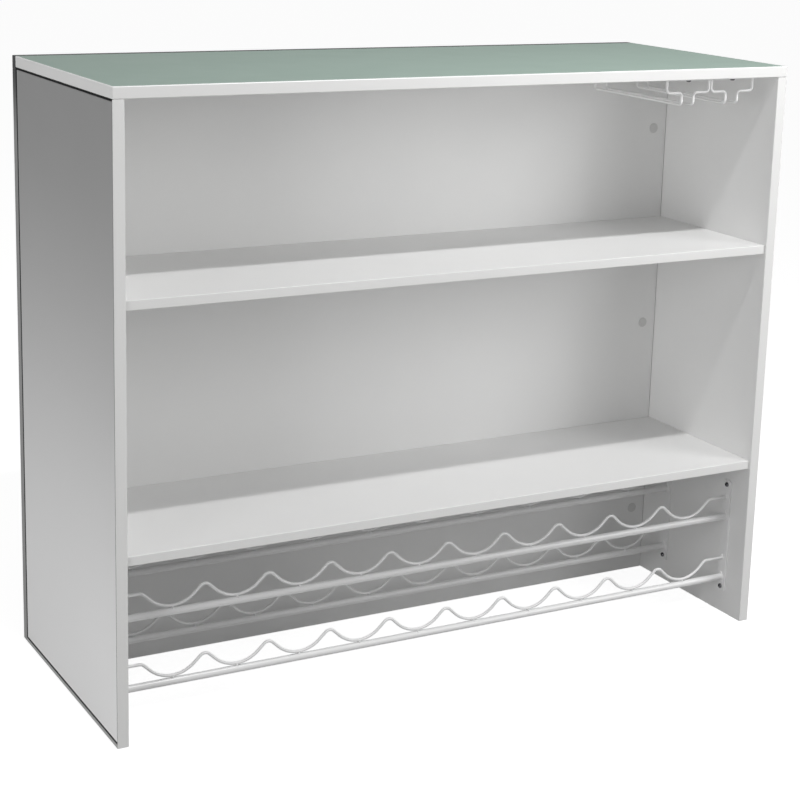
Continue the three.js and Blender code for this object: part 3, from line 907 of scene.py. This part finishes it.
def wave(name, node):
    low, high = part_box(node)
    y = (low.y + high.y) / 2
    trough = low.z + WAVE_DIAMETER / 2
    peak = high.z - WAVE_DIAMETER / 2
    half = WAVE_PITCH / 2
    slope = 2 * math.atan((peak - trough) / (half + WAVE_FLANK))
    trough_radius = (half - WAVE_FLANK * math.cos(slope)) / math.sin(slope) - PEAK_RADIUS
    falling = Vector((math.cos(slope), 0, -math.sin(slope))) * WAVE_FLANK
    rising = Vector((falling.x, 0, -falling.z))
    first_peak = -BOTTLES * half
    piece = start_wire(name, Vector((low.x, y, peak)), ALONG, WAVE_DIAMETER)
    feed((first_peak - low.x, 0, 0))
    bend(slope, (first_peak, y, peak - PEAK_RADIUS), ACROSS, PEAK_STEPS)
    for bottle in range(BOTTLES):
        centre = first_peak + (bottle + 0.5) * WAVE_PITCH
        feed(falling)
        bend(-2 * slope, (centre, y, trough + trough_radius), ACROSS, TROUGH_STEPS)
        feed(rising)
        slopes = 1 if bottle == BOTTLES - 1 else 2
        bend(slopes * slope, (centre + half, y, peak - PEAK_RADIUS), ACROSS, slopes * PEAK_STEPS)
    feed((high.x + first_peak, 0, 0))
    end_wire()
    return piece


first_wave = wave(f"{FIRST_ROW}_waved_wire", f"{FIRST_ROW}_wave")
print("wave of", len(first_wave.data.vertices), "points")

# %% [markdown]
# ## Copies for the other rows
#
# The rack has a front and a rear frame, and each carries a lower and an upper row. The rows are alike,
# so whatever is made for the front lower row is copied to the other three. Each copy has its own mesh,
# and is made before the first piece is handed over.

# %% Copies of a row
OTHER_ROWS = ("rack_front_upper", "rack_rear_lower", "rack_rear_upper")


def copy_piece(piece, name, turn):
    """A copy with its own mesh, turned and moved. A mirrored copy gets its normals put right."""
    select_only(piece)
    bpy.ops.object.duplicate(linked=False)
    twin = bpy.context.object
    twin.matrix_world = turn
    settle(name)
    if turn.determinant() < 0:
        start_editing(twin)
        turn_normals_out()
        stop_editing()
    return twin


def finish_rows(first, ending, placed_by, replaced=True):
    """Copies a piece of the front lower row to the other rows, and finishes all four."""
    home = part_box(f"{FIRST_ROW}_{placed_by}")[0]
    pieces = {FIRST_ROW: first}
    for row in OTHER_ROWS:
        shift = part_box(f"{row}_{placed_by}")[0] - home
        pieces[row] = copy_piece(first, f"{row}_{ending}", Matrix.Translation(shift))
    for row, piece in pieces.items():
        solids = [f"{row}_{placed_by}"] if replaced else []
        finish_piece(piece, "white_wire", *solids)


finish_rows(first_wave, "waved_wire", "wave")
print("waves copied to", len(OTHER_ROWS), "rows")

# %% [markdown]
# ## The tubes of the bottle rack
#
# Each wave rests on a round steel tube that runs from plate to plate. A tube is drawn hollow, and its
# wall can be seen only at its ends, behind the plates. So a cylinder with many sides is the start, and
# two insets at each end make the wall and a bore of some depth.

# %% Tubes
QUARTER_TURN = math.pi / 2
TUBE_SIDES = 32
TUBE_WALL = 1.25 * MM
TUBE_BORE_DEPTH = 30 * MM


def add_cylinder(name, sides, radius, depth, place, turn=(0, 0, 0)):
    """A cylinder, as the start of a turned piece."""
    select_only()
    bpy.ops.mesh.primitive_cylinder_add(
        vertices=sides, radius=radius, depth=depth, location=place, rotation=turn
    )
    return settle(name)


def tube(name, node):
    low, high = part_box(node)
    radius = (high.z - low.z) / 2
    turn = (0, QUARTER_TURN, 0)
    piece = add_cylinder(name, TUBE_SIDES, radius, high.x - low.x, (low + high) / 2, turn)
    start_editing(piece)
    pick_faces(piece, lambda middle, facing: abs(facing.x) > SQUARE_ON)
    bpy.ops.mesh.inset(thickness=TUBE_WALL, use_individual=True)
    bpy.ops.mesh.inset(thickness=TINY, depth=-TUBE_BORE_DEPTH, use_individual=True)
    stop_editing()
    return piece


first_tube = tube(f"{FIRST_ROW}_tube_round", f"{FIRST_ROW}_tube")
finish_rows(first_tube, "tube_round", "tube")
print("tubes of", TUBE_SIDES, "sides")

# %% [markdown]
# ## The hanging wires of the stemware rack
#
# A glass hangs by its foot on two rails. Each wire comes down at the rear, runs forward as a rail,
# turns up as a stop for the foot, steps out sideways as a shoulder and goes up to the top. The corners
# are right angles round one small bending radius, so the wire is a list of corners: feed up to each
# bend, then bend about the axis that is square to the runs before and after it.

# %% Stemware wires
STEM_DIAMETER = 4 * MM
STEM_BEND_RADIUS = 6 * MM
STEM_SHOULDER_DROP = 23 * MM
CORNER_STEPS = 6
MIRROR = Matrix.Diagonal((-1, 1, 1, 1))


def wire_through(name, corners, radius, diameter):
    """A wire that runs from corner to corner and turns square at each."""
    headings = [(b - a).normalized() for a, b in zip(corners, corners[1:])]
    piece = start_wire(name, corners[0], headings[0], diameter)
    here = corners[0]
    for corner, before, after in zip(corners[1:], headings, headings[1:]):
        feed(corner - before * radius - here)
        centre = corner + (after - before) * radius
        bend(QUARTER_TURN, centre, before.cross(after), CORNER_STEPS)
        here = corner + after * radius
    feed(corners[-1] - here)
    end_wire()
    return piece


def stem_wire(name, node):
    low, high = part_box(node)
    half = STEM_DIAMETER / 2
    rail, leg = high.x - half, low.x + half
    front, rear = low.y + half, high.y - half
    top, bottom = high.z, low.z + half
    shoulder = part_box("countertop_board")[0].z - STEM_SHOULDER_DROP
    corners = [
        Vector((rail, rear, top)),
        Vector((rail, rear, bottom)),
        Vector((rail, front, bottom)),
        Vector((rail, front, shoulder)),
        Vector((leg, front, shoulder)),
        Vector((leg, front, top)),
    ]
    return wire_through(name, corners, STEM_BEND_RADIUS, STEM_DIAMETER)


first_stem = stem_wire("stem_rack_1_left_rail", "stem_rack_1_left_wire")
stem_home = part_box("stem_rack_1_left_wire")[0]
rails = {"stem_rack_1_left": first_stem}
for unit in UNITS:
    left, right = f"stem_rack_{unit}_left", f"stem_rack_{unit}_right"
    if left not in rails:
        shift = Matrix.Translation(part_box(f"{left}_wire")[0] - stem_home)
        rails[left] = copy_piece(first_stem, f"{left}_rail", shift)
    ends = stem_home.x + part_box(f"{right}_wire")[1].x
    rails[right] = copy_piece(first_stem, f"{right}_rail", Matrix.Translation((ends, 0, 0)) @ MIRROR)
# The hanging wires take the white that is painted lighter to make up for the shade under the top.
for rail, piece in rails.items():
    finish_piece(piece, "white_wire", f"{rail}_wire", finish="stem_wire")
print("stemware wires of", len(first_stem.data.vertices), "points each")

# %% [markdown]
# ## Welds
#
# The wires, tubes and plates are one welded frame under the white coat, and the eye reads a weld as a
# small lumpy fillet. A torus is the start of a ring, and an icosphere the start of a bead. A seeded
# random push makes them lumpy, always in the same way, and smoothing melts the lumps together.

# %% Weld rings and beads
RING_STEPS = 20
RING_SIDES = 8
BEAD_SUBDIVISIONS = 2
WELD_ROUGHNESS = 0.5 * MM
WELD_SEED = 7
MELTED_SHARE = 0.4


def melt(weld, rough, seed):
    """Pushes the points of a weld about by a seeded chance, and smooths them."""
    start_editing(weld)
    bpy.ops.mesh.select_all(action="SELECT")
    bpy.ops.transform.vertex_random(offset=rough, seed=seed)
    bpy.ops.mesh.vertices_smooth(factor=MELTED_SHARE)
    stop_editing()


def add_ring(welds, place, axis, radius, fillet):
    """Adds a ring round an axis to a list of welds. A thicker fillet is rougher."""
    select_only()
    bpy.ops.mesh.primitive_torus_add(
        location=place,
        rotation=axis.to_track_quat("Z", "Y").to_euler(),
        major_radius=radius,
        minor_radius=fillet,
        major_segments=RING_STEPS,
        minor_segments=RING_SIDES,
    )
    ring = settle("weld_ring")
    melt(ring, WELD_ROUGHNESS * fillet / MM, WELD_SEED + len(welds))
    welds.append(ring)


def add_bead(welds, place, reach):
    """Adds a bead to a list of welds. Its reach is half its size along each axis."""
    select_only()
    bpy.ops.mesh.primitive_ico_sphere_add(
        subdivisions=BEAD_SUBDIVISIONS, radius=1, location=place, scale=reach
    )
    bead = settle("weld_bead")
    melt(bead, WELD_ROUGHNESS, WELD_SEED + len(welds))
    welds.append(bead)


def join_welds(name, welds):
    select_only(*welds)
    bpy.ops.object.join()
    welds[0].name = name
    return welds[0]


print("welds melt with seeds from", WELD_SEED)

# %% [markdown]
# ## Welds of the bottle rack
#
# A ring runs round each end of a tube and of a wave, with a tack that climbs the plate above it, and a
# small upright bead sits where each trough touches its tube. The welds of one row are joined into one
# piece, as nobody could take them apart, and the other rows get copies.

# %% Welds of the bottle rack
TUBE_RING_FILLET = 1.5 * MM
WAVE_RING_FILLET = 1.3 * MM
BEAD_REACH = Vector((2.0, 4.6, 3.2)) * MM
TACK_REACH = Vector((2.2, 2.4, 4.5)) * MM


def row_welds(name, tube_node, wave_node):
    low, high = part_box(tube_node)
    middle = (low + high) / 2
    wave_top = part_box(wave_node)[1].z
    wave_radius = WAVE_DIAMETER / 2
    welds = []
    for end in (low.x, high.x):
        tube_end = Vector((end, middle.y, middle.z))
        add_ring(welds, tube_end, ALONG, (high.z - low.z) / 2, TUBE_RING_FILLET)
        wave_end = Vector((end, middle.y, wave_top - wave_radius))
        add_ring(welds, wave_end, ALONG, wave_radius, WAVE_RING_FILLET)
        for top in (high.z, wave_top):
            add_bead(welds, Vector((end, middle.y, top)), TACK_REACH)
    for bottle in range(BOTTLES):
        trough = (bottle - (BOTTLES - 1) / 2) * WAVE_PITCH
        add_bead(welds, Vector((trough, middle.y, high.z)), BEAD_REACH)
    return join_welds(name, welds)


first_welds = row_welds(f"{FIRST_ROW}_welds", f"{FIRST_ROW}_tube", f"{FIRST_ROW}_wave")
finish_rows(first_welds, "welds", "tube", replaced=False)
print("welds of", len(first_welds.data.polygons), "faces a row")

# %% [markdown]
# ## Welds of the stemware rack
#
# The upper ends of the hanging wires are welded to the straps under the top. Only a thin ring round each
# wire shows there, from below. The rings of one unit are joined, and the other gets a copy.

# %% Welds of the stemware rack
STEM_RING_FILLET = 0.8 * MM


def stem_welds(name):
    half = STEM_DIAMETER / 2
    welds = []
    for side in SIDES:
        low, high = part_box(f"stem_rack_1_{side}_wire")
        rail, leg = high.x - half, low.x + half
        if side == "right":
            rail, leg = leg, rail
        for x, y in ((rail, high.y - half), (leg, low.y + half)):
            add_ring(welds, Vector((x, y, high.z)), UPWARD, half, STEM_RING_FILLET)
    return join_welds(name, welds)


first_unit = stem_welds("stem_rack_1_welds")
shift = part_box("stem_rack_2_left_wire")[0] - stem_home
second_unit = copy_piece(first_unit, "stem_rack_2_welds", Matrix.Translation(shift))
# Their welds take the same white, painted lighter for the shade under the top.
for welded in (first_unit, second_unit):
    finish_piece(welded, "white_wire", finish="stem_wire")
print("welds of", len(first_unit.data.polygons), "faces a unit")

# %% [markdown]
# ## The screw
#
# The black screws have a low domed head with a cross recess. The head starts as a short cylinder and is
# domed by insets that step up as they step in, like turning on a lathe. One screw is made at the origin,
# point up, because all twelve are alike. Threads would be hidden in the holes, so the shank is plain.

# %% Screw
SCREW_SIDES = 24
HEAD_RADIUS = 4.25 * MM
HEAD_HEIGHT = 3 * MM
HEAD_RIM = 1.0 * MM
DOME_STEPS = 5
SHANK_RADIUS = 2 * MM
SHANK_LENGTH = 8 * MM
POINT_LENGTH = 4 * MM
POINT_TAPER = 1.8 * MM


def dome(radius, rise):
    """Insets the selected round face in steps, up to a shallow dome."""
    angles = [QUARTER_TURN * step / (DOME_STEPS + 1) for step in range(DOME_STEPS + 1)]
    for before, after in zip(angles, angles[1:]):
        inward = radius * (math.cos(before) - math.cos(after))
        up = rise * (math.sin(after) - math.sin(before))
        bpy.ops.mesh.inset(thickness=inward, depth=up)


def screw():
    piece = add_cylinder("screw_master", SCREW_SIDES, HEAD_RADIUS, HEAD_RIM, (0, 0, -HEAD_RIM / 2))
    start_editing(piece)
    pick_faces(piece, lambda middle, facing: facing.z < -SQUARE_ON)
    dome(HEAD_RADIUS, HEAD_HEIGHT - HEAD_RIM)
    pick_faces(piece, lambda middle, facing: facing.z > SQUARE_ON)
    bpy.ops.mesh.inset(thickness=HEAD_RADIUS - SHANK_RADIUS)
    extrude((0, 0, SHANK_LENGTH))
    bpy.ops.mesh.inset(thickness=POINT_TAPER, depth=POINT_LENGTH)
    turn_normals_out()
    stop_editing()
    return piece


master_screw = screw()
print("plain screw of", len(master_screw.data.polygons), "faces")

# %% [markdown]
# ## The cross recess
#
# A real recess is punched with a cross-shaped tool. A Boolean does the same here: two crossed bars are
# united into the tool, and the tool is cut from the crown of the head.

# %% Cross recess
RECESS_SPAN = 4.4 * MM
RECESS_WIDTH = 1.1 * MM
RECESS_DEPTH = 1.5 * MM


def combine(piece, operation, tool):
    """Cuts the tool from the piece (DIFFERENCE) or adds it (UNION), and clears the tool away."""
    select_only(piece)
    step = piece.modifiers.new("combine", "BOOLEAN")
    step.operation = operation
    step.object = tool
    bpy.ops.object.modifier_apply(modifier=step.name)
    bpy.data.objects.remove(tool)


def cross_tool():
    """Two crossed bars, sunk half into the crown of the head."""
    crown = Vector((0, 0, -HEAD_HEIGHT))
    bars = []
    for length, width in ((RECESS_SPAN, RECESS_WIDTH), (RECESS_WIDTH, RECESS_SPAN)):
        half = Vector((length / 2, width / 2, RECESS_DEPTH))
        bars.append(add_block("recess_bar", crown - half, crown + half))
    combine(bars[0], "UNION", bars[1])
    return bars[0]


combine(master_screw, "DIFFERENCE", cross_tool())
print("screw of", len(master_screw.data.polygons), "faces with its recess")

# %% [markdown]
# ## Screws in their places
#
# Eight screws hold the plates of the bottle rack to the sides, and four hold the straps of the stemware
# rack under the top. A copy is turned to each, so that the flat underside of its head lies where the
# solid's does.

# %% Seat the screws
LEVELS = ("lower", "upper")
SCREW_TURN = {
    "left": Matrix.Rotation(QUARTER_TURN, 4, "Y") @ Matrix.Rotation(2 * QUARTER_TURN, 4, "X"),
    "right": Matrix.Rotation(QUARTER_TURN, 4, "Y"),
    "up": Matrix.Identity(4),
}


def seat_screw(node, way):
    """Copies the screw to a solid's place, pointing to the left, to the right or up."""
    low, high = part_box(node)
    seat = (low + high) / 2
    if way == "up":
        seat.z = low.z + HEAD_HEIGHT
    else:
        seat.x = low.x + HEAD_HEIGHT if way == "right" else high.x - HEAD_HEIGHT
    piece = copy_piece(master_screw, f"{node}_black", Matrix.Translation(seat) @ SCREW_TURN[way])
    finish_piece(piece, "black_screw", node)


for row in ROWS:
    for side in SIDES:
        for level in LEVELS:
            seat_screw(f"rack_{row}_{side}_{level}_screw", side)
    for unit in UNITS:
        seat_screw(f"stem_rack_{unit}_{row}_screw", "up")
bpy.data.objects.remove(master_screw)
print("screws seated, with heads", HEAD_HEIGHT / MM, "mm high")

# %% [markdown]
# ## Cam covers
#
# A round plastic cover hides each cam in the back panel. It is a thin disc with a soft edge and a
# shallow dished middle, and the cam behind it is a drum with a mouth for the head of its bolt. The disc
# is a cylinder whose front is bevelled and dished by insets, and the mouth is cut with a block. The
# covers at the left are mirrored, because their bolts come from the other side.

# %% Cam lock with its cover
CAM_NUMBERS = (1, 2, 3)
COVER_SIDES = 48
COVER_RADIUS = 9 * MM
COVER_HEIGHT = 0.8 * MM
COVER_SOFT_EDGE = 0.5 * MM
DISH_RIM = 1.6 * MM
DISH_SLOPE = 0.4 * MM
DISH_DEPTH = 0.2 * MM
DRUM_RADIUS = 7.15 * MM
MOUTH_HALF = 3.35 * MM


def middle_of(node):
    low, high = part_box(node)
    return (low + high) / 2


def mouth_block(cam_node, bolt_node):
    """A block along the bolt, from just past the cam's middle out through its drum."""
    axis = middle_of(cam_node)
    axis.y = middle_of(bolt_node).y
    half = Vector((MOUTH_HALF, MOUTH_HALF, MOUTH_HALF))
    outer = Vector((COVER_RADIUS, MOUTH_HALF, MOUTH_HALF))
    return add_block("mouth", axis - half, axis + outer)


def cam_lock(cam_node, bolt_node):
    low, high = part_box(cam_node)
    place = middle_of(cam_node)
    place.y = low.y + COVER_HEIGHT / 2
    turn = (QUARTER_TURN, 0, 0)
    piece = add_cylinder("cam_lock_master", COVER_SIDES, COVER_RADIUS, COVER_HEIGHT, place, turn)
    start_editing(piece)
    pick_edges(piece, lambda middle, along: abs(middle.y - low.y) < TINY)
    round_edges(COVER_SOFT_EDGE)
    pick_faces(piece, lambda middle, facing: facing.y < -SQUARE_ON)
    bpy.ops.mesh.inset(thickness=DISH_RIM)
    bpy.ops.mesh.inset(thickness=DISH_SLOPE, depth=-DISH_DEPTH)
    pick_faces(piece, lambda middle, facing: facing.y > SQUARE_ON)
    bpy.ops.mesh.inset(thickness=COVER_RADIUS - DRUM_RADIUS)
    extrude((0, high.y - low.y - COVER_HEIGHT, 0))
    stop_editing()
    combine(piece, "DIFFERENCE", mouth_block(cam_node, bolt_node))
    return piece


master_cam = cam_lock("cam_lock_right_1", "cam_bolt_right_1")
to_origin = Matrix.Translation(-middle_of("cam_lock_right_1"))
for side in SIDES:
    flip = MIRROR if side == "left" else Matrix.Identity(4)
    for number in CAM_NUMBERS:
        node = f"cam_lock_{side}_{number}"
        turn = Matrix.Translation(middle_of(node)) @ flip @ to_origin
        finish_piece(copy_piece(master_cam, f"{node}_cover", turn), "cam_cover", node)
print("cam covers of", len(master_cam.data.polygons), "faces each")
bpy.data.objects.remove(master_cam)

# %% [markdown]
# ## Finishes on the solids that stay
#
# The side boards, the back panel and the bolts keep their solids: their shape is right and their holes
# are real. They only take their finish, in the material slots that they already have.

# %% Finish the solids that stay
KEPT = {
    "white_board": ["left_side_board", "right_side_board", "back_panel"],
    "zinc_bolt": [f"cam_bolt_{side}_{number}" for side in SIDES for number in CAM_NUMBERS],
}
for slot, nodes in KEPT.items():
    for node in nodes:
        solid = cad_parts[node]
        if not solid.material_slots:
            solid.data.materials.append(None)
        for place in solid.material_slots:
            place.material = FINISH[slot]
print("kept solids:", sum(len(nodes) for nodes in KEPT.values()))
